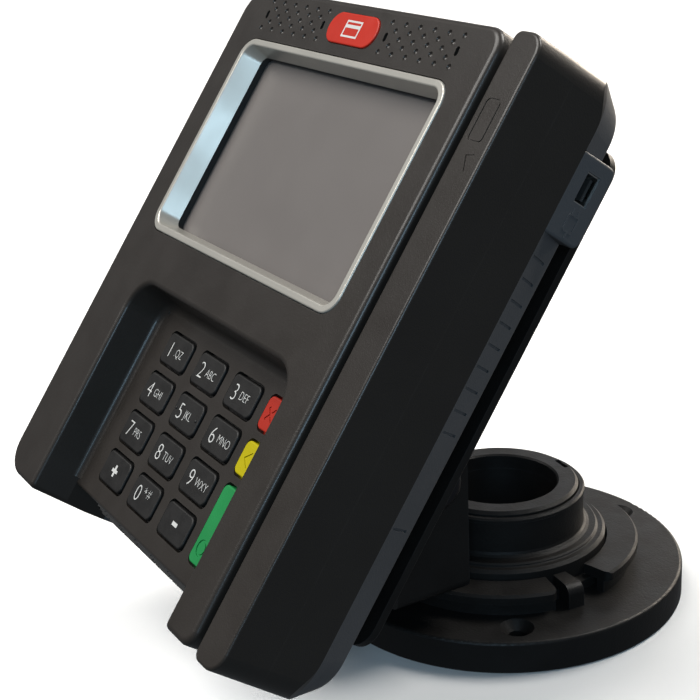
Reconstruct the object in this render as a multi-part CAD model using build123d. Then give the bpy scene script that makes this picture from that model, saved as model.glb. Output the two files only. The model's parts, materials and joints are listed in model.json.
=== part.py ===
from build123d import *
import os
from math import atan, cos, degrees, radians, sin, tan

# Card payment terminal on a counter stand that swivels and tilts. Millimetres.
# Stand frame: origin at the centre of the base plate's underside, +Z up, the face looks towards -Y.
# Terminal frame: X to the right, Y up along the face, Z out of the face, origin on the face's
# mid-plane at the display's height. HEAD_PLACE carries terminal parts into the stand frame.

# ---- stand ----
BASE_R = 55.4
BASE_T = 9.8
BORE_R = 17.7              # cable bore through base, spigot and ring nut
SPIGOT_R = 20.5
RUN = 0.06                 # radial running clearance of the two pivots
FIXING_PCD = 94.0
FIXING_HOLE_R = 2.6
FIXING_ANGLES = (-30, 90, 210)
RING_R = 42.0              # C-shaped retaining ring
RING_TOP = 16.8
RING_LIP_R = 32.8
RING_FOOT_R = 40.0         # the ring's wall under its overhanging lip
RING_RECESS = 37.6         # room under the ring for the foot flange and its stop lug
RING_GAP = (-12.4, 13.0)
FOOT_R = 35.2              # the hub's foot flange, held down by the ring
FLANGE_R = 32.2
FLANGE_TOP = 19.5
LEDGE_R, LEDGE_TOP = 29.6, 20.5
COLLAR_R = 25.9
COLLAR_TOP = 32.9
NUT_R = 24.0
NUT_Z = (29.6, 34.3)
NUT_NOTCHES = (83, 263)
STOP_ANGLE = -4.0
RING_SCREW_R = 38.8
RING_SCREW_ANGLES = (35, 125, 235, 325)
GRUB_ANGLE, GRUB_Z = 148, 26.3   # set screw that locks the nut's thread

# ---- tilt joint ----
PIVOT_Y, PIVOT_Z = -44.0, 56.0
CHEEK_X = 30.0             # outer face of each yoke cheek
CHEEK_T = 3.8
CHEEK_R = 12.0             # half width and top radius of a cheek
YOKE_BOTTOM = 19.8
YOKE_WEB_T = 4.0
YOKE_SCREW_Y = (-38.0, -48.0)
EAR_X = 25.4               # outer face of each mount plate ear
EAR_T = 3.5
EAR_R = 11.0
BOLT_R = 4.0

# ---- terminal casing ----
LEAN = 35.0                # the face leans back from the vertical at rest
FACE_Y, FACE_Z = -64.4, 141.8
FACE_W = 145.0
FACE_TOP, FACE_BOTTOM = 48.0, -115.5
DRAFT = 1.3
CORNERS = (9.0, 6.0, 6.0, 9.0)   # plan radii: bottom left, bottom right, top right, top left
WALL = 2.4
PARTING = -25.3            # front cover meets rear cover
BACK = -37.0               # back plane of the rear cover
BACK_HALF_W, BACK_R = 66.7, 12.0  # the sides slope in to this half width at the back plane
SLOT = (57.8, 61.1)        # card-swipe slot, left and right wall
SLOT_FLOOR = -13.0
PEDESTAL_W, PEDESTAL_H, PEDESTAL_BACK = 84.0, 110.0, -46.0   # raised pad the mount plate bolts to
PEDESTAL_MID = -30.0
CABLE_WINDOW = (0, -18)    # centre of the opening that gives access to the rear connector
COVER_SCREWS = [(u, v) for u in (-61.5, 61.5) for v in (39.5, -40.0, -99.0)]
HEAD_WINDOW_V, HEAD_WINDOW_W = (2.4, 15.6), (-11.9, -2.7)   # where the magstripe head looks into the slot
PORT_BLOCK_U, PORT_BLOCK_V = (61.0, 75.0), (9.5, 31.0)      # side port housing
PORT_V, PORT_W = (19.2, 27.2), (-33.4, -29.0)               # opening of the side port

# ---- display ----
DISPLAY_U = -6.5           # the display, badge and grilles share this centre line
BEZEL_W, BEZEL_H, BEZEL_R = 108.0, 63.6, 6.0
BEZEL_RIM = 2.0
BEZEL_PROUD = 0.3
BEZEL_DEPTH = -5.0
WINDOW_W, WINDOW_H = 97.0, 56.6
PANEL = -7.2               # touch surface

# ---- keypad ----
WELL_U = (-48.3, 42.0)     # the well's floor, left and right
WELL_TOP = -49.0
WELL_FLOOR = -11.5
WELL_SLOPE = 13.2          # outward lean of the well's walls
COVE_R = 2.5
DECK_FRONT = -107.0
DECK_T = 2.0
KEY_TOP = -10.9
KEY_FOOT = -14.6
KEY_GAP = 0.7
KEY_COLUMNS = (-30.3, -9.7, 11.0)
KEY_ROWS = (-60.3, -73.0, -85.6, -98.2)
KEY_W, KEY_H = 15.2, 9.2
FUNCTION_U, FUNCTION_W = 30.6, 14.2
SIGN_U = 27.4              # the function keys' signs sit left of their middle
HOOD_U = (-38.0, 34.0)     # lip over the chip card mouth
MOUTH_U, MOUTH_W = (-31.2, 25.2), (-21.7, -19.1)

# ---- mount plate ----
PLATE_W, PLATE_TOP, PLATE_BOTTOM = 120.0, 38.0, -102.0
PLATE_T = 2.5

HEAD_PLACE = Pos(0, FACE_Y, FACE_Z) * Rot(90 - LEAN, 0, 0)
MID_V = (FACE_TOP + FACE_BOTTOM) / 2
FACE_H = FACE_TOP - FACE_BOTTOM
PIVOT_IN_HEAD = (HEAD_PLACE.inverse() * Pos(0, PIVOT_Y, PIVOT_Z)).position
PIVOT_V, PIVOT_W = PIVOT_IN_HEAD.Y, PIVOT_IN_HEAD.Z


def save(name, *solids, place=Location()):
    shape = place * (solids[0] if len(solids) == 1 else Compound(children=list(solids)))
    export_step(shape, f"parts/{name}.step")


def save_head(name, *solids):
    save(name, *solids, place=HEAD_PLACE)


def block(x, y, z):
    """Box between two limits on each axis."""
    size = (x[1] - x[0], y[1] - y[0], z[1] - z[0])
    return Pos((x[0] + x[1]) / 2, (y[0] + y[1]) / 2, (z[0] + z[1]) / 2) * Box(*size)


def slab(centre, width, height, radius, z):
    """Rounded rectangle between two heights."""
    outline = Pos(centre[0], centre[1], z[0]) * RectangleRounded(width, height, radius)
    return extrude(outline, z[1] - z[0])


def rod(x, y, radius, z):
    return Pos(x, y, (z[0] + z[1]) / 2) * Cylinder(radius, z[1] - z[0])


def tube(x, y, radii, z):
    return rod(x, y, radii[1], z) - rod(x, y, radii[0], z)


def turned(*profile):
    """Solid of revolution about Z from (radius, height) points."""
    return revolve(Plane.XZ * make_face(Polyline(*profile, close=True)), Axis.Z)


def sector(radii, angles, z):
    """Part of a ring between two radii, two angles and two heights."""
    reach = radii[1] * 2
    corners = [(reach * cos(radians(a)), reach * sin(radians(a))) for a in angles]
    wedge = extrude(Pos(0, 0, z[0]) * make_face(Polyline((0, 0), *corners, close=True)), z[1] - z[0])
    return tube(0, 0, radii, z) & wedge


def across(profile, x):
    """Profile drawn in (Y, Z), extruded along X between two limits."""
    return extrude(Plane.YZ.offset(x[0]) * profile, x[1] - x[0])


def polar(radius, angle):
    return radius * cos(radians(angle)), radius * sin(radians(angle))


def at_level(part, z):
    """Edges that lie in one horizontal plane."""
    return part.edges().filter_by(lambda e: abs(e.bounding_box().min.Z - z) < 1e-3
                                  and abs(e.bounding_box().max.Z - z) < 1e-3)


# ---------------------------------------------------------------- stand, fixed part

def base_plate():
    plate = rod(0, 0, BASE_R, (0, BASE_T))
    plate = fillet(at_level(plate, BASE_T), 0.9)
    plate = chamfer(at_level(plate, 0), 0.5)
    plate -= rod(0, 0, BORE_R, (0, BASE_T))
    plate -= rod(0, 0, SPIGOT_R, (3, BASE_T))
    for angle in FIXING_ANGLES:
        x, y = polar(FIXING_PCD / 2, angle)
        plate -= rod(x, y, FIXING_HOLE_R, (0, BASE_T))
        plate -= Pos(x, y, BASE_T - 1.3) * Cone(FIXING_HOLE_R, 4.9, 2.6)
    for x, y in ring_screw_places():
        plate -= rod(x, y, 1.2, (0, BASE_T))
        plate -= Pos(x, y, 0.6) * Cone(2.4, 1.2, 1.2)
    return plate


def ring_screw_places():
    return [polar(RING_SCREW_R, angle) for angle in RING_SCREW_ANGLES]


def ring_screws():
    screws = []
    for x, y in ring_screw_places():
        screw = Pos(x, y, 0.6) * Cone(2.35, 1.15, 1.2) + rod(x, y, 0.9, (1.1, 14.5))
        screws.append(screw - extrude(Pos(x, y, 0) * RegularPolygon(0.8, 6), 0.8))
    return screws


def retaining_ring():
    ring = turned((RING_RECESS, BASE_T), (RING_FOOT_R, BASE_T), (RING_FOOT_R, 13.4), (RING_R, 14.0),
                  (RING_R, RING_TOP - 0.7), (RING_R - 0.7, RING_TOP), (RING_LIP_R, RING_TOP),
                  (RING_LIP_R, 13.7), (RING_RECESS, 13.7))
    ring -= sector((20, RING_R + 4), RING_GAP, (BASE_T - 1, RING_TOP + 1))
    ends = ring.edges().filter_by(Axis.Z)
    corners = [e for e in ends if e.center().X > 0 and e.center().Z > 14.3 and ring_radius(e) > 40]
    ring = fillet(corners, 2.0)
    for x, y in ring_screw_places():
        ring -= rod(x, y, 0.95, (BASE_T, 15.0))
    return ring


def ring_radius(edge):
    return (edge.center().X ** 2 + edge.center().Y ** 2) ** 0.5


def swivel_stop():
    tongue = sector((RING_LIP_R, RING_R - 0.4), (STOP_ANGLE - 3.6, STOP_ANGLE + 3.6), (BASE_T, RING_TOP))
    tongue -= tube(0, 0, (20, RING_RECESS), (BASE_T - 1, 13.7))
    nose = [e for e in tongue.edges() if e.center().Z > RING_TOP - 0.1 and e.center().X > RING_R - 1.5]
    tongue = fillet(nose, 2.6)
    tooth = sector((35.9, 37.9), (STOP_ANGLE - 3.5, STOP_ANGLE + 3.5), (BASE_T, 13.8))
    return tongue + tooth


def spigot():
    return tube(0, 0, (BORE_R, SPIGOT_R), (3, NUT_Z[0])) - grub_hole(0.05)


def grub_hole(gap):
    """Radial hole through the spigot for the set screw."""
    barrel = Rot(0, 90, 0) * Cylinder(2.0 + gap, 2.4)
    return Rot(0, 0, GRUB_ANGLE) * Pos(BORE_R + 1.5, 0, GRUB_Z) * barrel


def grub_screw():
    socket = Rot(0, 90, 0) * extrude(RegularPolygon(1.1, 6), 1.0)
    return grub_hole(0) - Rot(0, 0, GRUB_ANGLE) * Pos(BORE_R + 0.3, 0, GRUB_Z) * socket


def ring_nut():
    nut = turned((BORE_R, NUT_Z[0]), (NUT_R, NUT_Z[0]), (NUT_R, NUT_Z[1] - 0.9), (NUT_R - 0.9, NUT_Z[1]),
                 (BORE_R + 0.5, NUT_Z[1]), (BORE_R, NUT_Z[1] - 0.5))
    for angle in NUT_NOTCHES:
        nut -= Rot(0, 0, angle) * block((NUT_R - 2.6, NUT_R + 1), (-3, 3), (NUT_Z[1] - 2.8, NUT_Z[1] + 1))
    return nut


def wear_washer():
    return tube(0, 0, (SPIGOT_R + 0.4, FOOT_R - 1), (BASE_T, BASE_T + 0.5))


# ---------------------------------------------------------------- stand, turning part

def swivel_hub():
    foot, band = BASE_T + 0.55, COLLAR_TOP - 1.6
    waist = COLLAR_R - 0.35
    hub = turned((SPIGOT_R + RUN, foot), (FOOT_R, foot), (FOOT_R, 13.2), (FLANGE_R - 0.6, 13.2),
                 (FLANGE_R, 13.8), (FLANGE_R, FLANGE_TOP - 0.9), (FLANGE_R - 0.9, FLANGE_TOP),
                 (LEDGE_R + 0.3, FLANGE_TOP), (LEDGE_R, FLANGE_TOP + 0.3), (LEDGE_R, LEDGE_TOP - 0.4),
                 (LEDGE_R - 0.4, LEDGE_TOP), (waist + 1.7, LEDGE_TOP), (waist + 0.8, LEDGE_TOP + 0.3),
                 (waist + 0.2, LEDGE_TOP + 0.9), (waist, LEDGE_TOP + 1.7), (waist, band),
                 (COLLAR_R, band + 0.25), (COLLAR_R, COLLAR_TOP - 0.5), (COLLAR_R - 0.5, COLLAR_TOP),
                 (NUT_R + 0.4, COLLAR_TOP), (NUT_R + 0.4, NUT_Z[0] - 0.1), (SPIGOT_R + RUN, NUT_Z[0] - 0.1))
    return hub + sector((FOOT_R - 1, 37.2), (STOP_ANGLE + 176.2, STOP_ANGLE + 183.8), (foot, 13.0))


def yoke_seat():
    """Block fixed to the collar's front; the yoke is screwed up against its underside."""
    seat = block((-12, 12), (-54, -18), (YOKE_BOTTOM + YOKE_WEB_T, 31))
    seat = fillet(seat.edges().filter_by(Axis.Y).group_by(Axis.Z)[-1], 2.5)
    seat = fillet(seat.edges().filter_by(Axis.X).sort_by(lambda e: e.center().Y - e.center().Z)[0], 2.5)
    seat -= rod(0, 0, COLLAR_R, (20, 40))
    for y in YOKE_SCREW_Y:
        seat -= rod(0, y, 2.05, (YOKE_BOTTOM, 30))
    return seat


def yoke_bracket():
    tall = PIVOT_Z - YOKE_BOTTOM
    outline = Pos(PIVOT_Y, YOKE_BOTTOM + tall / 2) * Rectangle(2 * CHEEK_R, tall)
    outline += Pos(PIVOT_Y, PIVOT_Z) * Circle(CHEEK_R)
    outline -= Pos(PIVOT_Y, PIVOT_Z) * Circle(BOLT_R + 0.02)
    inner = CHEEK_X - CHEEK_T
    yoke = across(outline, (inner, CHEEK_X)) + across(outline, (-CHEEK_X, -inner))
    front, rear = PIVOT_Y - CHEEK_R, -FLANGE_R - 0.6
    yoke += block((-inner, inner), (front, rear), (YOKE_BOTTOM, YOKE_BOTTOM + YOKE_WEB_T))
    bends = [e for e in yoke.edges().filter_by(Axis.Y)
             if abs(e.center().Z - YOKE_BOTTOM) < 0.01 and abs(abs(e.center().X) - CHEEK_X) < 0.01]
    yoke = fillet(bends, 3.0)
    for y in YOKE_SCREW_Y:
        yoke -= rod(0, y, 2.2, (10, 30))
    return yoke


def yoke_screws():
    screws = []
    for y in YOKE_SCREW_Y:
        head = Pos(0, y, YOKE_BOTTOM - 1) * Cylinder(3.6, 2.0)
        shank = rod(0, y, 2.0, (YOKE_BOTTOM - 0.1, 29.5))
        screws.append(head + shank - extrude(Pos(0, y, YOKE_BOTTOM - 2) * RegularPolygon(1.6, 6), 1.2))
    return screws


def tilt_bolt():
    """Lies along X with its domed head on the right-hand cheek."""
    shaft = Rot(0, 90, 0) * Cylinder(BOLT_R, CHEEK_X + 37.5)
    bolt = Pos((CHEEK_X - 37.5) / 2, 0, 0) * shaft
    head = Rot(0, 90, 0) * Cylinder(8.0, 4.4)
    head = fillet(head.edges().sort_by(Axis.X)[-1], 2.6)
    bolt += Pos(CHEEK_X + 2.2, 0, 0) * head
    bolt -= Pos(CHEEK_X + 1.8, 0, 0) * Rot(0, 90, 0) * extrude(RegularPolygon(2.9, 6), 4)
    return Pos(0, PIVOT_Y, PIVOT_Z) * bolt


def tilt_nut():
    nut = Rot(0, -90, 0) * extrude(RegularPolygon(7.5, 6) - Circle(BOLT_R + 0.02), 6.0)
    return Pos(-CHEEK_X, PIVOT_Y, PIVOT_Z) * nut


def collar_on_bolt(radii, x):
    ring = Circle(radii[1]) - Circle(radii[0])
    return across(Pos(PIVOT_Y, PIVOT_Z) * ring, x)


def friction_washers():
    gap = (EAR_X + 0.05, CHEEK_X - CHEEK_T - 0.05)
    radii = (BOLT_R + 0.02, 9.5)
    return [collar_on_bolt(radii, gap), collar_on_bolt(radii, (-gap[1], -gap[0]))]


# ---------------------------------------------------------------- mount plate (terminal frame)

def mount_plate():
    front, rear = PEDESTAL_BACK, PEDESTAL_BACK - PLATE_T
    middle = (PLATE_TOP + PLATE_BOTTOM) / 2
    plate = slab((0, middle), PLATE_W, PLATE_TOP - PLATE_BOTTOM, 7, (rear, front))
    plate = fillet(at_level(plate, rear), 0.6)
    plate -= slab(CABLE_WINDOW, 40, 44, 6, (rear - 1, front + 1))
    for u, v in plate_screw_places():
        plate -= rod(u, v, 2.25, (rear - 1, front + 1))
    root, shoulder = EAR_R + 10, PIVOT_W + 2
    ear = make_face(Polyline((PIVOT_V + root, rear), (PIVOT_V + EAR_R, shoulder),
                             (PIVOT_V - EAR_R, shoulder), (PIVOT_V - root, rear), close=True))
    ear += Pos(PIVOT_V, PIVOT_W) * Circle(EAR_R)
    ear -= Pos(PIVOT_V, PIVOT_W) * Circle(BOLT_R + RUN)
    for x in ((EAR_X - EAR_T, EAR_X), (-EAR_X, EAR_T - EAR_X)):
        plate += across(ear, x)
    return plate


def plate_screw_places():
    reach_u, reach_v = PEDESTAL_W / 2 - 4.5, PEDESTAL_H / 2 - 4.5
    return [(a * reach_u, PEDESTAL_MID + b * reach_v) for a in (-1, 1) for b in (-1, 1)]


def plate_screws():
    rear = PEDESTAL_BACK - PLATE_T
    screws = []
    for u, v in plate_screw_places():
        head = rod(u, v, 3.8, (rear - 2.2, rear))
        head = fillet(at_level(head, rear - 2.2), 1.2)
        head -= extrude(Pos(u, v, rear - 2.2) * RegularPolygon(1.5, 6), 1.2)
        screws.append(head + rod(u, v, 2.0, (rear - 0.1, rear + 9)))
    return screws


# ---------------------------------------------------------------- casing

def rounded_outline(x, y, radii):
    """Rectangle with its own radius at each corner: bottom left, bottom right, top right, top left."""
    corners = [(x[0], y[0]), (x[1], y[0]), (x[1], y[1]), (x[0], y[1])]
    outline = make_face(Polyline(*corners, close=True))
    for corner, radius in zip(corners, radii):
        vertex = outline.vertices().sort_by_distance((corner[0], corner[1], 0))[0]
        outline = fillet(vertex, radius)
    return outline


def parting_outline(inset):
    """Outline shared by the front and rear covers where they meet."""
    growth = abs(PARTING) * tan(radians(DRAFT)) - inset
    half, low, high = FACE_W / 2 + growth, FACE_BOTTOM - growth, FACE_TOP + growth
    radii = [radius + 0.5 - inset for radius in CORNERS]
    return Pos(0, 0, PARTING) * rounded_outline((-half, half), (low, high), radii)


def sloped_form(inset, depth, outward):
    """Block with sloping sides from the parting plane: narrowing backwards (-1) or widening forwards (1)."""
    half = FACE_W / 2 + abs(PARTING) * tan(radians(DRAFT)) - inset
    slope = (half + inset - BACK_HALF_W) / (PARTING - BACK)
    margin = slope * (PARTING - BACK - inset)
    outline = RectangleRounded(2 * half, FACE_H + 2 * margin, BACK_R + margin - inset)
    taper = -outward * degrees(atan(slope))
    return extrude(Pos(0, MID_V, PARTING) * outline, depth, dir=(0, 0, outward), taper=taper)


def front_form(inset, top):
    """Drafted outer form of the front cover, inset all round, from the parting plane up."""
    form = extrude(parting_outline(inset), top - PARTING, taper=DRAFT)
    return form & sloped_form(inset, top - PARTING, 1)


def well_form(depth, cove):
    """The keypad well as a solid: sloping walls, open towards the bottom edge."""
    width, middle = WELL_U[1] - WELL_U[0], (WELL_U[0] + WELL_U[1]) / 2
    length = 90.0
    outline = Pos(middle, WELL_TOP - length / 2, depth) * RectangleRounded(width, length, 7.0)
    form = extrude(outline, -depth, taper=-WELL_SLOPE)
    if cove:
        form = fillet(at_level(form, depth), cove)
    return form


def bezel_slab(width, height, radius, z):
    return slab((DISPLAY_U, 0), width, height, radius, z)


def upper_form(left, right, radii):
    """Drafted block above the slot's floor; radii run bottom left, bottom right, top right, top left."""
    growth = abs(SLOT_FLOOR) * tan(radians(DRAFT))
    low, high = FACE_BOTTOM - growth, FACE_TOP + growth
    outline = rounded_outline((left - growth, right + growth), (low, high), radii)
    return extrude(Pos(0, 0, SLOT_FLOOR) * outline, -SLOT_FLOOR, taper=DRAFT)


def face_block():
    """Everything of the front cover left of the swipe slot and above the slot's floor."""
    face = upper_form(-FACE_W / 2, SLOT[0], (CORNERS[0], 5.0, 7.0, CORNERS[3]))
    return fillet(at_level(face, 0), 1.7)


def front_cavity():
    """Hollow of the front cover, leaving walls round the well, the slot and the card mouth."""
    hollow = front_form(WALL, -WALL)
    well = (WELL_U[0] - 5, WELL_U[1] + 5)
    hollow -= block(well, (FACE_BOTTOM - 5, WELL_TOP + 5), (WELL_FLOOR - DECK_T, 0))
    hollow -= block((WELL_U[0] - 5, WELL_U[0]), (FACE_BOTTOM - 5, DECK_FRONT + 3), (PARTING, 0))
    hollow -= block((WELL_U[1], WELL_U[1] + 5), (FACE_BOTTOM - 5, DECK_FRONT + 3), (PARTING, 0))
    hollow -= block((SLOT[0] - WALL, 90), (FACE_BOTTOM - 5, FACE_TOP + 5), (SLOT_FLOOR - WALL, 0))
    for u, v in COVER_SCREWS:
        hollow -= rod(u, v, 3.5, (PARTING, 0))
    return hollow


def grille_places():
    """Centres of the sound dimples and of the four sound slots."""
    dimples, slots = [], []
    pitch, step = 6.6, 2.15
    for side in (-33.0, 33.0):
        for row in range(5):
            count = 6 - row % 2
            for column in range(count):
                u = DISPLAY_U + side + (column - (count - 1) / 2) * pitch
                v = 39.8 + (2 - row) * step
                end = row == 2 and column in (0, count - 1)
                (slots if end else dimples).append((u, v))
    return dimples, slots


def grille():
    dimples, slots = grille_places()
    cuts = [Pos(u, v, 0.35) * Sphere(0.9) for u, v in dimples]
    for u, v in slots:
        cuts.append(extrude(Pos(u, v, -5) * Rot(0, 0, 8) * SlotOverall(2.7, 1.4, rotation=90), 6))
    return cuts


def front_cover():
    cover = face_block() + front_form(0, SLOT_FLOOR)
    cover -= front_cavity()
    cover -= well_form(WELL_FLOOR, COVE_R)
    across_deck, along_deck = deck_outline()
    through_floor = (WELL_FLOOR - DECK_T - 1, WELL_FLOOR + 1)
    cover -= block(across_deck, (FACE_BOTTOM - 5, along_deck[1]), through_floor)
    mouth = well_form(WELL_FLOOR, 0) & block((-90, 90), (FACE_BOTTOM - 5, DECK_FRONT), (-30, 1))
    mouth += block(WELL_U, (FACE_BOTTOM - 5, DECK_FRONT), (PARTING - 1, WELL_FLOOR))
    cover -= mouth
    cover -= bezel_slab(BEZEL_W + 0.5, BEZEL_H + 0.5, BEZEL_R + 0.2, (-10, 1))
    cover -= badge_form(0.15, (-0.6, 1))
    for cut in grille():
        cover -= cut
    cover -= block((SLOT[0] - 4, SLOT[0] + 1), HEAD_WINDOW_V, HEAD_WINDOW_W)
    rim = [e for e in at_level(cover, 0) if well_edge(e)]
    cover = fillet(rim, 1.6)
    for u, v in COVER_SCREWS:
        cover -= rod(u, v, 1.5, (PARTING - 1, PARTING + 9))
    return cover


def well_edge(edge):
    centre = edge.center()
    return -55 < centre.X < 48 and centre.Y < WELL_TOP + 6 and centre.Y > FACE_BOTTOM + 2


def deck_outline():
    return (WELL_U[0] + COVE_R, WELL_U[1] - COVE_R), (DECK_FRONT, WELL_TOP - COVE_R)


def keys():
    """Name, centre and size of each key."""
    names = ("1", "2", "3", "4", "5", "6", "7", "8", "9", "plus", "0", "minus")
    places = [(u, v) for v in KEY_ROWS for u in KEY_COLUMNS]
    table = [(name, place, (KEY_W, KEY_H)) for name, place in zip(names, places)]
    tall = KEY_ROWS[2] - KEY_ROWS[3] + KEY_H
    table.append(("cancel", (FUNCTION_U, KEY_ROWS[0]), (FUNCTION_W, KEY_H)))
    table.append(("clear", (FUNCTION_U, KEY_ROWS[1]), (FUNCTION_W, KEY_H)))
    table.append(("enter", (FUNCTION_U, (KEY_ROWS[2] + KEY_ROWS[3]) / 2), (FUNCTION_W, tall)))
    return table


def keypad_deck():
    (left, right), (front, top) = deck_outline()
    under = WELL_FLOOR - DECK_T
    deck = block((left, right), (front, top), (under, WELL_FLOOR))
    wall = block(WELL_U, (front - 2, front), (PARTING, WELL_FLOOR))
    wall = fillet(wall.edges().filter_by(Axis.X).sort_by(lambda e: e.center().Z - e.center().Y)[-1], 1.0)
    deck += wall
    for _, (u, v), (width, height) in keys():
        deck -= slab((u, v), width + 2 * KEY_GAP, height + 2 * KEY_GAP, 2.2, (under - 1, WELL_FLOOR + 1))
    deck -= block(MOUTH_U, (front - 9, front + 1), MOUTH_W)
    return deck


def card_hood():
    """Ribbed lip over the chip card mouth: fine steps along it and a few grooves across it."""
    wall, top = DECK_FRONT - 2, -14.4
    steps, run, drop = 4, 0.8, 1.15
    corners = [(wall, MOUTH_W[1]), (wall, top)]
    for i in range(steps):
        reach = wall - (i + 1) * run
        corners += [(reach, top - i * drop), (reach + 0.25, top - (i + 1) * drop)]
    profile = make_face(Polyline(*corners, (corners[-1][0], MOUTH_W[1]), close=True))
    lip = across(profile, HOOD_U)
    for u in range(-33, 34, 11):
        strip = across(profile, (u, u + 0.6))
        lip -= strip - Pos(0, 0.45, 0) * strip
    return lip


def key_cap(place, size):
    (u, v), (width, height) = place, size
    cap = slab(place, width, height, 1.9, (KEY_FOOT, KEY_TOP))
    cap = fillet(at_level(cap, KEY_TOP), 0.5)
    flange = slab(place, width + 2.4, height + 2.4, 2.6, (KEY_FOOT, KEY_FOOT + 0.7))
    return cap + flange


def key_5(place, size):
    """The middle key carries two raised nibs for the fingertip."""
    cap = key_cap(place, size)
    for side in (-1, 1):
        cap += Pos(place[0] + side * 6.2, place[1], KEY_TOP - 0.2) * Sphere(0.55)
    return cap


def key_signs():
    """Recessed signs of the function keys, each with its height up the keypad."""
    cross = Rot(0, 0, 45) * Rectangle(4.8, 0.8) + Rot(0, 0, -45) * Rectangle(4.8, 0.8)
    chevron = trace(Polyline((1.2, 1.9), (-1.2, 0), (1.2, -1.9)), line_width=0.8)
    ring = Circle(2.3) - Circle(1.6)
    return {"cancel": (cross, KEY_ROWS[0]), "clear": (chevron, KEY_ROWS[1]), "enter": (ring, KEY_ROWS[3])}


def function_key(name, place, size):
    sign, v = key_signs()[name]
    return key_cap(place, size) - extrude(Pos(SIGN_U, v, KEY_TOP - 0.25) * sign, 1)


def rear_form(inset):
    """Outer form of the rear cover: its sides slope in towards the back, with rounded corners."""
    depth = PARTING - BACK - inset
    return sloped_form(inset, depth, -1) & extrude(parting_outline(inset), depth, dir=(0, 0, -1))


def pedestal():
    """Raised pad behind the cover; hollow, with a boss for each plate screw and walls round the window."""
    pad, inner = (0, PEDESTAL_MID), (PEDESTAL_BACK + WALL, BACK - 0.1)
    solid = slab(pad, PEDESTAL_W, PEDESTAL_H, 8, (PEDESTAL_BACK, BACK + 0.1))
    hollow = slab(pad, PEDESTAL_W - 2 * WALL, PEDESTAL_H - 2 * WALL, 8 - WALL, inner)
    hollow -= slab(CABLE_WINDOW, 42 + 2 * WALL, 46 + 2 * WALL, 7 + WALL, inner)
    for u, v in plate_screw_places():
        hollow -= rod(u, v, 4.4, inner)
    return solid - hollow


def rear_cover():
    cover = rear_form(0)
    cover = fillet(at_level(cover, BACK), 2.6)
    hollow = rear_form(WALL) & block((-90, 90), (DECK_FRONT, 90), (-60, 0))
    for u, v in COVER_SCREWS:
        hollow -= rod(u, v, 3.5, (BACK, PARTING))
    cover -= hollow
    cover -= block(WELL_U, (FACE_BOTTOM - 9, DECK_FRONT - 4), (BACK - 1, PARTING + 1))
    cover += pedestal()
    cover -= slab(CABLE_WINDOW, 42, 46, 7, (PEDESTAL_BACK - 1, BACK))
    for u, v in plate_screw_places():
        cover -= rod(u, v, 2.05, (PEDESTAL_BACK - 1, PEDESTAL_BACK + 9.5))
    for u, v in COVER_SCREWS:
        cover -= rod(u, v, 1.6, (BACK - 1, PARTING + 1))
        cover -= rod(u, v, 2.9, (BACK - 1, BACK + 2.1))
    cover -= block((-17.6, 17.6), (-26, -14), (BACK - 1, BACK + 4))
    cover -= block((PORT_BLOCK_U[0], 90), PORT_BLOCK_V, (BACK - 1, PARTING + 1))
    return cover - side_grooves()


def side_grooves():
    """Fine grip grooves across the sloping sides."""
    skin = rear_form(0) - rear_form(0.35)
    places = [2.9 - 5.8 * i for i in range(9)] + [-69.0]
    sides = ((66.5, 80), (-80, -66.5))
    bars = [block(side, (v, v + 0.7), (-33.5, -26.2)) for v in places for side in sides]
    cuts = [skin & bar for bar in bars]
    return Compound(children=[solid for cut in cuts for solid in cut.solids()])


def cover_screws():
    screws = []
    for u, v in COVER_SCREWS:
        head = rod(u, v, 2.7, (BACK + 0.4, BACK + 2.1))
        head -= extrude(Pos(u, v, BACK + 0.4) * RegularPolygon(1.2, 6), 1.0)
        screws.append(head + rod(u, v, 1.45, (BACK + 2, PARTING + 8)))
    return screws


def swipe_rail():
    rail = upper_form(SLOT[1], FACE_W / 2, (2.6, CORNERS[1] + 0.2, CORNERS[2] + 0.2, 2.6))
    return fillet(at_level(rail, 0), 0.9) - rail_marks()


def rail_marks():
    """Shallow grooves that show which way a card is swiped."""
    card = RectangleRounded(5.6, 11.2, 1.4) - RectangleRounded(4.8, 10.4, 1.0)
    arrow = trace(Polyline((1.9, -12.9), (0, -9.1), (2.8, -8.6)), line_width=0.45)
    return extrude(Pos(66.3, 24.8, -0.2) * (card + arrow), 2)


def badge_form(gap, z):
    outline = SlotOverall(25.0 + 2 * gap, 9.2 + 2 * gap)
    return extrude(Pos(DISPLAY_U, 40.0, z[0]) * outline, z[1] - z[0])


def badge():
    plate = badge_form(0, (-0.6, 0.5))
    return fillet(at_level(plate, 0.5), 0.4)


# ---------------------------------------------------------------- display

def display_bezel():
    bezel = bezel_slab(BEZEL_W, BEZEL_H, BEZEL_R, (BEZEL_DEPTH, BEZEL_PROUD))
    bezel += bezel_slab(BEZEL_W + 3, BEZEL_H + 3, BEZEL_R + 1, (BEZEL_DEPTH, -WALL - 0.1))
    low = Pos(DISPLAY_U, 0, BEZEL_DEPTH) * RectangleRounded(WINDOW_W, WINDOW_H, 2.5)
    opening = RectangleRounded(BEZEL_W - 2 * BEZEL_RIM, BEZEL_H - 2 * BEZEL_RIM, 4.2)
    bezel -= loft([low, Pos(DISPLAY_U, 0, BEZEL_PROUD) * opening])
    return fillet(at_level(bezel, BEZEL_PROUD), 0.5)


def screen_gasket():
    ring = bezel_slab(BEZEL_W - 2, BEZEL_H - 2, 5, (PANEL, BEZEL_DEPTH))
    return ring - bezel_slab(WINDOW_W + 0.8, WINDOW_H + 0.8, 2.9, (PANEL - 1, BEZEL_DEPTH + 1))


def touch_panel():
    return bezel_slab(BEZEL_W - 2, BEZEL_H - 2, 3, (PANEL - 1.5, PANEL))


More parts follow.
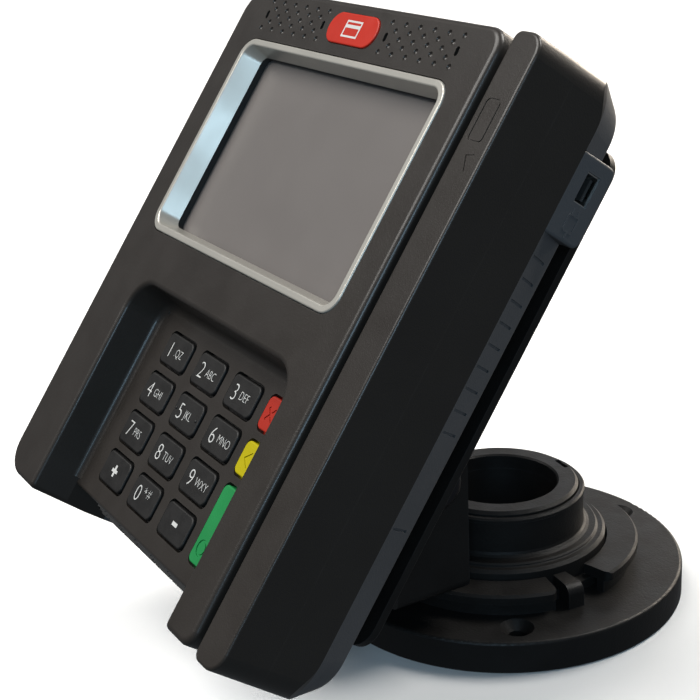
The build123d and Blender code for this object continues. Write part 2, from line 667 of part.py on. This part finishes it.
def lcd_module():
    return bezel_slab(BEZEL_W - 4, BEZEL_H - 4, 1.5, (PANEL - 5.1, PANEL - 1.5))


def display_carrier():
    carrier = bezel_slab(BEZEL_W + 2, BEZEL_H + 2, 3, (PANEL - 6.7, PANEL - 5.1))
    for u in (-30, 0, 30):
        carrier -= slab((DISPLAY_U + u, 0), 22, 40, 4, (-20, 0))
    return carrier


def ribbon_cable():
    """Thin flexible circuit from the display round to the main board."""
    strip = (-34, -14)
    return (block(strip, (BEZEL_H / 2 - 2, 36), (-9.6, -9.4)) + block(strip, (35.8, 36), (-18.8, -9.4))
            + block(strip, (29, 36), (-18.8, -18.6)))


# ---------------------------------------------------------------- electronics

def main_board():
    return slab((-5, -1), 110, 70, 2, (-18.6, -17.0))


def shield_cans():
    return [slab((-36.5, 10), 33, 36, 1.5, (-22, -18.6)), slab((21.5, 14), 33, 28, 1.5, (-22, -18.6))]


def backup_battery():
    return rod(-40, -24, 10, (-23.6, -18.6))


def io_connector():
    shell = slab((0, -20), 34, 11, 2, (-41, -18.6))
    return shell - slab((0, -20), 30, 7, 1.2, (-42, -33))


def keypad_mat():
    mat = slab((-3, -79), 82, 53, 2, (-16.6, -15.9))
    for _, (u, v), _ in keys():
        mat += rod(u, v, 3.4, (-16, -15.75))
    return mat


def keypad_board():
    return slab((-3, -79), 82, 53, 2, (-18.2, -16.6))


def chip_card_reader():
    middle = (MOUTH_U[0] + MOUTH_U[1]) / 2
    reader = slab((middle, -83), 59, 47, 1.5, (-24.4, -18.3))
    return reader - block((middle - 27.3, middle + 27.3), (-110, -63), (-21.2, -19.8))


def magstripe_head():
    body = block((50.6, SLOT[0] + 0.4), (3, 15), (-11.3, -3.3))
    crown = body.edges().filter_by(Axis.Z).group_by(Axis.X)[-1]
    return fillet(crown, 2.4)


def head_spring():
    """Leaf spring that presses the head towards the slot."""
    leaf = block((49.4, 49.7), (-4, 22), (-10, -5))
    return leaf + block((49.7, 55.0), (20, 22), (-10, -5)) + block((49.7, 55.0), (-4, -2), (-10, -5))


def speakers():
    return [slab((DISPLAY_U + side, 40), 33, 10.5, 1.5, (-6.9, -WALL)) for side in (-33.0, 33.0)]


def side_port_housing():
    growth = abs(PARTING) * tan(radians(DRAFT))
    outer = FACE_W / 2 + growth
    housing = block((PORT_BLOCK_U[0], outer), PORT_BLOCK_V, (BACK, PARTING))
    housing = fillet(housing.edges().filter_by(Axis.X).group_by(Axis.Z)[0], 2.0)
    outer_face = housing.faces().sort_by(Axis.X)[-1]
    housing = fillet(outer_face.edges().filter_by(lambda e: e.center().Z < PARTING - 0.5), 0.8)
    housing -= block((PORT_BLOCK_U[0] + 1, 90), PORT_V, PORT_W)
    mark = RectangleRounded(4.6, 3.6, 0.8) - RectangleRounded(3.8, 2.8, 0.4)
    mark += Pos(-2.9, 0) * Rectangle(1.6, 0.5)
    for side in (-1, 1):
        mark += Pos(2.9, side * 0.9) * Rectangle(1.6, 0.5)
    housing += extrude(Plane.YZ.offset(outer - 0.1) * Pos(14.2, -31.3) * mark, 0.3)
    return housing


def side_port_socket():
    wall = 0.35
    outer = FACE_W / 2
    shell = block((PORT_BLOCK_U[0] + 1, outer), PORT_V, PORT_W)
    shell -= block((PORT_BLOCK_U[0] + 2, outer + 1), (PORT_V[0] + wall, PORT_V[1] - wall),
                   (PORT_W[0] + wall, PORT_W[1] - wall))
    return shell


def side_port_tongue():
    return block((PORT_BLOCK_U[0] + 2, FACE_W / 2 - 0.8), (PORT_V[0] + 1.2, PORT_V[1] - 1.2), (-32.5, -31.7))


os.makedirs("parts", exist_ok=True)

for part in (base_plate, retaining_ring, swivel_stop, spigot, grub_screw, ring_nut, wear_washer,
             swivel_hub, yoke_seat, yoke_bracket, tilt_bolt, tilt_nut):
    save(part.__name__, part())
for group in (ring_screws, yoke_screws, friction_washers):
    save(group.__name__, *group())
save("tilt_spacer", collar_on_bolt((BOLT_R + RUN, 6.5), (EAR_T - EAR_X + 0.05, EAR_X - EAR_T - 0.05)))

for part in (mount_plate, front_cover, keypad_deck, card_hood, rear_cover, swipe_rail, badge, display_bezel,
             screen_gasket, touch_panel, lcd_module, display_carrier, ribbon_cable, main_board,
             backup_battery, io_connector, keypad_mat, keypad_board, chip_card_reader, magstripe_head,
             head_spring, side_port_housing, side_port_socket, side_port_tongue):
    save_head(part.__name__, part())
for group in (plate_screws, cover_screws, shield_cans, speakers):
    save_head(group.__name__, *group())
for name, place, size in keys():
    if name in key_signs():
        save_head(f"key_{name}", function_key(name, place, size))
    elif name == "5":
        save_head(f"key_{name}", key_5(place, size))
    else:
        save_head(f"key_{name}", key_cap(place, size))
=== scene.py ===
import json
from math import radians

import bmesh
import bpy
from mathutils import Matrix, Quaternion, Vector


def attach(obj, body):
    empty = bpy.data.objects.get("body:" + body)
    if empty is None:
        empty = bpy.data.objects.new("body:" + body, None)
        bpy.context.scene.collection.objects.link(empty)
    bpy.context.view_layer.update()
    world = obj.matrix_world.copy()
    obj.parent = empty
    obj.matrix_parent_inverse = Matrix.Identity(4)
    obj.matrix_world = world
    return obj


# Looks of a card payment terminal on its swivel and tilt stand. Metres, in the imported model's frame.

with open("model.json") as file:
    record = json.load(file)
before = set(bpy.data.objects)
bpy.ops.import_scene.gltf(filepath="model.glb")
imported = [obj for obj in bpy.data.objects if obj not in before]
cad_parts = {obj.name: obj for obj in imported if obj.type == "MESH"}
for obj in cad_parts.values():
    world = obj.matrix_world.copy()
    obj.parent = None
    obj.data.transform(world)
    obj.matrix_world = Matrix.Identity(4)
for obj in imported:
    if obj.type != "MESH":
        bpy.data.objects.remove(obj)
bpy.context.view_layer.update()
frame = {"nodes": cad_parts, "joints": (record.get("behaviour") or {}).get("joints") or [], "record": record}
NODES = frame["nodes"]
BODY_OF = {node: body for body, nodes in frame["record"]["behaviour"]["bodies"].items() for node in nodes}
MM = 0.001

# The terminal's own axes: right, up along the face, and out of the face.
PRESS = next(joint for joint in frame["joints"] if joint["name"] == "press_5")
OUT = -Vector(PRESS["axis"]).normalized()
RIGHT = Vector((1, 0, 0))
UP = OUT.cross(RIGHT)
HEAD = Matrix((RIGHT, UP, OUT)).transposed()


def extent(node):
    """Lowest and highest corner of a node along the terminal's own axes."""
    points = [HEAD.transposed() @ v.co for v in NODES[node].data.vertices]
    return (Vector([min(p[i] for p in points) for i in range(3)]),
            Vector([max(p[i] for p in points) for i in range(3)]))


# ---------------------------------------------------------------- node materials

class Surface:
    """A node material on one Principled shader, with helpers for variation, grain and wear."""

    def __init__(self, name, colour, metallic=0.0):
        self.material = bpy.data.materials.new(name)
        self.material.use_nodes = True
        self.tree = self.material.node_tree
        self.shader = self.tree.nodes["Principled BSDF"]
        self.shader.inputs["Metallic"].default_value = metallic
        self.place = self.add("ShaderNodeTexCoord").outputs["Object"]
        self.colour = (*colour, 1.0)
        self.roughness = None
        self.height = None

    def add(self, kind, **settings):
        node = self.tree.nodes.new(kind)
        for key, value in settings.items():
            setattr(node, key, value)
        return node

    def link(self, source, target):
        self.tree.links.new(source, target)

    def noise(self, scale, detail=3.0, stretch=(1, 1, 1)):
        node = self.add("ShaderNodeTexNoise")
        node.inputs["Scale"].default_value = scale
        node.inputs["Detail"].default_value = detail
        if stretch != (1, 1, 1):
            mapping = self.add("ShaderNodeMapping")
            mapping.inputs["Scale"].default_value = stretch
            self.link(self.place, mapping.inputs["Vector"])
            self.link(mapping.outputs["Vector"], node.inputs["Vector"])
        else:
            self.link(self.place, node.inputs["Vector"])
        return node.outputs["Fac"]

    def spread(self, source, low, high, start=0.35, end=0.65):
        """Maps a noise to a number between two values."""
        node = self.add("ShaderNodeMapRange")
        node.inputs["From Min"].default_value = start
        node.inputs["From Max"].default_value = end
        node.inputs["To Min"].default_value = low
        node.inputs["To Max"].default_value = high
        self.link(source, node.inputs["Value"])
        return node.outputs["Result"]

    def tint(self, colour, amount):
        """Mixes another colour in, as far as a socket says."""
        node = self.add("ShaderNodeMix", data_type="RGBA")
        factor, first, second = node.inputs[0], node.inputs[6], node.inputs[7]
        self.link(amount, factor)
        if isinstance(self.colour, tuple):
            first.default_value = self.colour
        else:
            self.link(self.colour, first)
        second.default_value = (*colour, 1.0)
        self.colour = node.outputs[2]
        return self

    def mottle(self, scale, colour, amount=0.5):
        """Slow variation of the base colour."""
        return self.tint(colour, self.spread(self.noise(scale), 0.0, amount))

    def gloss(self, scale, low, high):
        """Roughness that varies over the surface."""
        self.roughness = self.spread(self.noise(scale, 4.0), low, high)
        return self

    def grain(self, scale, depth, stretch=(1, 1, 1)):
        """Fine relief; several calls add up."""
        node = self.add("ShaderNodeBump")
        node.inputs["Strength"].default_value = 1.0
        node.inputs["Distance"].default_value = depth
        self.link(self.noise(scale, 2.0, stretch), node.inputs["Height"])
        if self.height is not None:
            self.link(self.height, node.inputs["Normal"])
        self.height = node.outputs["Normal"]
        return self

    def edge_wear_and_highlight(self, radius, colour, amount):
        """Lighter tone where the surface bends sharply, broken up by noise: partly edge wear, partly a
        painted highlight along the edges.
        """
        sharpest, flattest, patch_scale, least = 0.80, 0.995, 260.0, 0.25
        bevel = self.add("ShaderNodeBevel", samples=4)
        bevel.inputs["Radius"].default_value = radius
        plain = self.add("ShaderNodeNewGeometry")
        dot = self.add("ShaderNodeVectorMath", operation="DOT_PRODUCT")
        self.link(bevel.outputs["Normal"], dot.inputs[0])
        self.link(plain.outputs["Normal"], dot.inputs[1])
        bend = self.spread(dot.outputs["Value"], amount, 0.0, sharpest, flattest)
        broken = self.add("ShaderNodeMath", operation="MULTIPLY")
        self.link(bend, broken.inputs[0])
        self.link(self.spread(self.noise(patch_scale), least, 1.0), broken.inputs[1])
        return self.tint(colour, broken.outputs["Value"])

    def set(self, **sockets):
        for name, value in sockets.items():
            self.shader.inputs[name.replace("_", " ")].default_value = value
        return self

    def done(self):
        """The finished material; every surface has had its mottle and its gloss by now."""
        self.link(self.colour, self.shader.inputs["Base Color"])
        self.link(self.roughness, self.shader.inputs["Roughness"])
        if self.height is not None:
            self.link(self.height, self.shader.inputs["Normal"])
        return self.material


def casing():
    """Charcoal moulded plastic with a fine spark-eroded texture."""
    skin = Surface("casing", (0.0235, 0.0195, 0.0165))
    skin.mottle(35.0, (0.020, 0.0165, 0.0140), 0.6)
    skin.gloss(90.0, 0.38, 0.48)
    skin.grain(2600.0, 0.00004).grain(900.0, 0.00003)
    # Lighter edges: partly edge wear, partly a painted highlight along the rims.
    skin.edge_wear_and_highlight(0.0006, (0.048, 0.042, 0.036), 0.4)
    return skin.set(Specular_IOR_Level=0.24, Coat_Weight=0.3, Coat_Roughness=0.18).done()


def rear_casing():
    skin = Surface("rear_casing", (0.075, 0.076, 0.080))
    skin.mottle(40.0, (0.064, 0.065, 0.070), 0.6)
    skin.gloss(80.0, 0.42, 0.52)
    skin.grain(2400.0, 0.00005).grain(800.0, 0.00003)
    # Lighter edges: partly edge wear, partly a painted highlight along the rib edges.
    return skin.edge_wear_and_highlight(0.0006, (0.12, 0.12, 0.125), 0.5).done()


def stand_metal():
    """Black satin powder coat with its slight orange peel."""
    coat = Surface("stand_metal", (0.0085, 0.0077, 0.0072))
    coat.mottle(60.0, (0.0112, 0.0102, 0.0095), 0.5)
    coat.gloss(120.0, 0.40, 0.52)
    coat.grain(700.0, 0.00004).grain(1800.0, 0.00006)
    # Lighter edges: partly chipped-coat wear, partly a painted highlight along the rims.
    return coat.edge_wear_and_highlight(0.0005, (0.045, 0.045, 0.048), 0.4).set(Specular_IOR_Level=0.22).done()


def steel(name, colour, low, high):
    """Turned and plated steel."""
    metal = Surface(name, colour, metallic=1.0)
    metal.gloss(300.0, low, high)
    metal.grain(1500.0, 0.00002, stretch=(1, 1, 6))
    return metal.mottle(120.0, tuple(0.8 * c for c in colour), 0.5).done()


def silver_trim():
    """Warm silver paint on the display bezel."""
    paint = Surface("silver_trim", (0.45, 0.43, 0.385))
    paint.mottle(60.0, (0.41, 0.39, 0.35), 0.5)
    paint.gloss(60.0, 0.28, 0.36)
    paint.grain(3000.0, 0.00001)
    return paint.set(Metallic=0.4).done()


def rubber():
    skin = Surface("rubber", (0.012, 0.012, 0.012))
    skin.mottle(300.0, (0.02, 0.02, 0.02), 0.5)
    return skin.gloss(200.0, 0.62, 0.8).grain(2000.0, 0.00003).done()


def touch_glass():
    """Anti-glare touch film over a dark-grey panel that is switched off."""
    film = Surface("touch_glass", (0.130, 0.117, 0.110))
    film.mottle(12.0, (0.140, 0.126, 0.118), 0.7)
    film.gloss(60.0, 0.38, 0.46)
    film.grain(5000.0, 0.000004)
    return film.set(Specular_IOR_Level=0.3, Coat_Weight=0.12, Coat_Roughness=0.25).done()


def plastic(name, colour, low, high, grain_depth=0.00003, specular=0.5):
    skin = Surface(name, colour)
    skin.mottle(150.0, tuple(0.86 * c for c in colour), 0.6)
    skin.gloss(250.0, low, high)
    # Lighter edges: partly edge wear, partly a painted highlight along the rims.
    skin.grain(2200.0, grain_depth).edge_wear_and_highlight(0.0004, tuple(min(1, 1.5 * c) for c in colour), 0.35)
    return skin.set(Specular_IOR_Level=specular).done()


def board():
    mask = Surface("board", (0.02, 0.11, 0.05))
    mask.mottle(400.0, (0.015, 0.085, 0.04), 0.6)
    return mask.gloss(200.0, 0.3, 0.42).grain(1200.0, 0.00003).done()


MATERIALS = {
    "casing": casing(),
    "rear_casing": rear_casing(),
    "stand_metal": stand_metal(),
    "steel": steel("steel", (0.56, 0.56, 0.57), 0.25, 0.40),
    "black_steel": steel("black_steel", (0.05, 0.05, 0.055), 0.30, 0.45),
    "nylon": plastic("nylon", (0.68, 0.66, 0.60), 0.4, 0.5),
    "silver_trim": silver_trim(),
    "badge_red": plastic("badge_red", (0.45, 0.022, 0.010), 0.34, 0.42, 0.000006, 0.25),
    "rubber": rubber(),
    "touch_glass": touch_glass(),
    "lcd": plastic("lcd", (0.10, 0.10, 0.10), 0.3, 0.4),
    "inner_plastic": plastic("inner_plastic", (0.03, 0.03, 0.03), 0.45, 0.6),
    "film": plastic("film", (0.45, 0.20, 0.04), 0.2, 0.3),
    "board": board(),
    "shield": steel("shield", (0.62, 0.62, 0.60), 0.22, 0.36),
    "key_black": plastic("key_black", (0.0085, 0.0080, 0.0078), 0.45, 0.58, specular=0.3),
    "key_red": plastic("key_red", (0.34, 0.020, 0.010), 0.45, 0.55, specular=0.2),
    "key_yellow": plastic("key_yellow", (0.43, 0.36, 0.003), 0.45, 0.55, specular=0.15),
    "key_green": plastic("key_green", (0.012, 0.205, 0.055), 0.45, 0.55, specular=0.2),
    "print_white": plastic("print_white", (0.56, 0.56, 0.54), 0.5, 0.6, 0.00001),
}

for part in frame["record"]["subparts"]:
    mesh = NODES[part["node"]].data
    mesh.materials.clear()
    mesh.materials.append(MATERIALS[part["material_slot"]])


# ---------------------------------------------------------------- printed legends

def piece(name, mesh, slot, body):
    """A new mesh object with its material, riding on a body."""
    made = bpy.data.objects.new(name, mesh)
    bpy.context.scene.collection.objects.link(made)
    mesh.materials.clear()
    mesh.materials.append(MATERIALS[slot])
    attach(made, body)
    return made


INK, INK_SINK = 0.03 * MM, 0.03 * MM             # prints stand this far proud and reach this far in
STROKE_TRIM, TRIM_SIZE = 0.115 * MM, 5.6 * MM    # strokes are thinned by this much at this size of lettering


def on_head(mesh, centre):
    """Moves a flat mesh from its own plane to a point given in the terminal's axes."""
    mesh.transform(Matrix.Translation(centre))
    mesh.transform(HEAD.to_4x4())
    return mesh


def printed(name, words, height, width_scale, place, body):
    """Flat condensed lettering on a plane of the terminal's face; place is the left end of its baseline."""
    curve = bpy.data.curves.new(name, "FONT")
    curve.body = words
    curve.align_x = "LEFT"
    curve.size = height
    curve.offset = -STROKE_TRIM * height / TRIM_SIZE
    curve.extrude = (INK + INK_SINK) / 2
    curve.resolution_u = 4
    text = bpy.data.objects.new(name, curve)
    bpy.context.scene.collection.objects.link(text)
    bpy.context.view_layer.update()
    mesh = bpy.data.meshes.new_from_object(text.evaluated_get(bpy.context.evaluated_depsgraph_get()))
    bpy.data.objects.remove(text)
    mesh.transform(Matrix.Diagonal((width_scale, 1, 1, 1)))
    on_head(mesh, place + Vector((0, 0, (INK - INK_SINK) / 2)))
    return piece(name, mesh, "print_white", body)


def bars(name, rectangles, place, body):
    """Flat printed sign made of rectangles given as centre x, centre y, width and height in millimetres."""
    shape = bmesh.new()
    for x, y, width, height in rectangles:
        made = bmesh.ops.create_cube(shape, size=1.0)["verts"]
        bmesh.ops.scale(shape, vec=(width * MM, height * MM, INK + INK_SINK), verts=made)
        bmesh.ops.translate(shape, vec=(x * MM, y * MM, (INK - INK_SINK) / 2), verts=made)
    mesh = bpy.data.meshes.new(name)
    shape.to_mesh(mesh)
    shape.free()
    return piece(name, on_head(mesh, place), "print_white", body)


LETTERS = {"1": ".QZ", "2": "ABC", "3": "DEF", "4": "GHI", "5": "JKL",
           "6": "MNO", "7": "PRS", "8": "TUV", "9": "WXY"}
DIGIT_SIZE, DIGIT_WIDTH = 6.8 * MM, 0.96       # widths are shares of the font's own
LETTER_SIZE, LETTER_WIDTH = 3.5 * MM, 0.84
STAR_SIZE, HASH_SIZE, SIGN_WIDTH = 4.4 * MM, 4.0 * MM, 0.9
DIGIT_X, LETTER_X = 3.6 * MM, 8.0 * MM         # left ends of the digit and of the small letters on a key
DIGIT_Y, LETTER_Y = -2.4 * MM, -1.3 * MM       # their baselines, from the middle of the key
STAR_Y = LETTER_Y + 0.9 * MM
HASH_X, HASH_Y = LETTER_X + 2.2 * MM, LETTER_Y + 1.6 * MM
PLUS_BARS = [(0, 0, 3.4, 0.95), (0, 1.1, 0.95, 1.25), (0, -1.1, 0.95, 1.25)]
MINUS_BARS = [(0, 0, 2.8, 1.1)]


def key_legends():
    for digit in "0123456789":
        low, high = extent(f"key_{digit}")
        body = BODY_OF[f"key_{digit}"]
        base = Vector((low.x, (low.y + high.y) / 2, high.z))
        if digit == "5":
            base.z = extent("key_2")[1].z      # the middle key's nibs rise above its top
        printed(f"legend_{digit}", digit, DIGIT_SIZE, DIGIT_WIDTH, base + Vector((DIGIT_X, DIGIT_Y, 0)), body)
        if digit in LETTERS:
            place = base + Vector((LETTER_X, LETTER_Y, 0))
            printed(f"letters_{digit}", LETTERS[digit], LETTER_SIZE, LETTER_WIDTH, place, body)
        else:
            printed("star", "*", STAR_SIZE, SIGN_WIDTH, base + Vector((LETTER_X, STAR_Y, 0)), body)
            printed("hash", "#", HASH_SIZE, SIGN_WIDTH, base + Vector((HASH_X, HASH_Y, 0)), body)
    for name, rectangles in (("plus", PLUS_BARS), ("minus", MINUS_BARS)):
        low, high = extent(f"key_{name}")
        middle = Vector(((low.x + high.x) / 2, (low.y + high.y) / 2, high.z))
        bars(f"legend_{name}", rectangles, middle, BODY_OF[f"key_{name}"])


def badge_icon():
    """Plain payment card outline with its stripe."""
    low, high = extent("badge")
    middle = Vector(((low.x + high.x) / 2, (low.y + high.y) / 2, high.z))
    wide, tall, line = 8.0, 5.0, 0.55
    stripe_y, stripe_height = 0.75, 0.95
    outline = [(0, (tall - line) / 2, wide, line), (0, (line - tall) / 2, wide, line),
               ((wide - line) / 2, 0, line, tall - 2 * line), ((line - wide) / 2, 0, line, tall - 2 * line)]
    stripe = [(0, stripe_y, wide - 2 * line, stripe_height)]
    bars("badge_icon", outline + stripe, middle, BODY_OF["badge"])


key_legends()
badge_icon()


# ---------------------------------------------------------------- stage, lights and camera

FLOOR_REACH, FLOOR_DROP = 30.0, 0.0001     # half the floor's width, and its gap under the base


def floor():
    """Pale table top, far larger than the camera's view."""
    mesh = bpy.data.meshes.new("floor")
    made = bpy.data.objects.new("floor", mesh)
    bpy.context.scene.collection.objects.link(made)
    shape = bmesh.new()
    corners = [shape.verts.new((x * FLOOR_REACH, y * FLOOR_REACH, -FLOOR_DROP))
               for x, y in ((-1, -1), (1, -1), (1, 1), (-1, 1))]
    shape.faces.new(corners)
    shape.to_mesh(mesh)
    shape.free()
    paper = Surface("floor", (0.86, 0.86, 0.86))
    paper.mottle(3.0, (0.84, 0.84, 0.84), 0.5)
    mesh.materials.append(paper.gloss(20.0, 0.75, 0.85).done())
    made.visible_diffuse = False      # a bright floor would light the dark casing from below
    made.visible_glossy = False


ROOM_COLOUR, ROOM_STRENGTH = (0.85, 0.92, 1.0, 1.0), 0.12      # what the object sees around it
BACKDROP_STRENGTH = 1.15                                       # what the camera sees above the floor
SUN_STRENGTH, SUN_SPREAD = 4.2, radians(50)
SUN_COLOUR, SUN_HEADING = (1.0, 0.975, 0.94), Vector((0.30, 0.46, -0.84))
OBJECT_MIDDLE = (0.0, -0.03, 0.09)

# Soft boxes that face the object: name, place, width and height, watts, colour.
SOFT_BOXES = [
    ("top_light", (0.15, 0.9, 1.2), (0.8, 0.5), 16.0, (1.0, 0.97, 0.92)),
    ("window", (1.2, -0.75, 0.62), (0.4, 0.6), 6.8, (0.52, 0.78, 1.0)),
    ("rear_light", (-0.5, 1.35, 0.34), (0.9, 0.36), 10.0, (1.0, 0.88, 0.74)),
    ("left_rear_light", (-1.0, 0.9, 0.7), (0.5, 0.8), 1.2, (0.95, 0.97, 1.0)),
]


def soft_box(name, position, size, power, colour):
    lamp = bpy.data.lights.new(name, "AREA")
    lamp.shape = "RECTANGLE"
    lamp.size, lamp.size_y = size
    lamp.energy = power
    lamp.color = colour
    made = bpy.data.objects.new(name, lamp)
    bpy.context.scene.collection.objects.link(made)
    made.location = position
    made.rotation_mode = "QUATERNION"
    made.rotation_quaternion = (Vector(OBJECT_MIDDLE) - Vector(position)).to_track_quat("-Z", "Y")


def sun():
    """Broad main light from the front left, above."""
    lamp = bpy.data.lights.new("sun", "SUN")
    lamp.energy = SUN_STRENGTH
    lamp.angle = SUN_SPREAD
    lamp.color = SUN_COLOUR
    made = bpy.data.objects.new("sun", lamp)
    bpy.context.scene.collection.objects.link(made)
    made.rotation_mode = "QUATERNION"
    made.rotation_quaternion = SUN_HEADING.to_track_quat("-Z", "Y")


def surroundings():
    """The camera sees a pale backdrop, the object a dim room."""
    world = bpy.data.worlds.new("studio")
    world.use_nodes = True
    tree = world.node_tree
    room = tree.nodes["Background"]
    room.inputs["Color"].default_value = ROOM_COLOUR
    room.inputs["Strength"].default_value = ROOM_STRENGTH
    paper = tree.nodes.new("ShaderNodeBackground")
    paper.inputs["Strength"].default_value = BACKDROP_STRENGTH
    ray = tree.nodes.new("ShaderNodeLightPath")
    mix = tree.nodes.new("ShaderNodeMixShader")
    tree.links.new(ray.outputs["Is Camera Ray"], mix.inputs[0])
    tree.links.new(room.outputs[0], mix.inputs[1])
    tree.links.new(paper.outputs[0], mix.inputs[2])
    tree.links.new(mix.outputs[0], tree.nodes["World Output"].inputs["Surface"])
    bpy.context.scene.world = world


def studio():
    surroundings()
    sun()
    for box in SOFT_BOXES:
        soft_box(*box)
    bpy.context.scene.view_settings.view_transform = "Standard"


CAMERA_AT = Vector((0.3488, -0.2490, 0.2314))
CAMERA_AIM = Vector((-0.0235, -0.0363, 0.0947))
CAMERA_ROLL = radians(2.5)
SENSOR_WIDTH, FOCAL_LENGTH = 36.0, 78.26      # millimetres
SHIFT_Y = -0.08
NEAREST, FARTHEST = 0.01, 20.0


def camera():
    lens = bpy.data.cameras.new("camera")
    lens.sensor_width = SENSOR_WIDTH
    lens.lens = FOCAL_LENGTH
    lens.shift_y = SHIFT_Y
    lens.clip_start, lens.clip_end = NEAREST, FARTHEST
    made = bpy.data.objects.new("camera", lens)
    bpy.context.scene.collection.objects.link(made)
    made.location = CAMERA_AT
    made.rotation_mode = "QUATERNION"
    aim = (CAMERA_AIM - CAMERA_AT).to_track_quat("-Z", "Y")
    made.rotation_quaternion = aim @ Quaternion((0, 0, 1), -CAMERA_ROLL)
    bpy.context.scene.camera = made


floor()
studio()
camera()
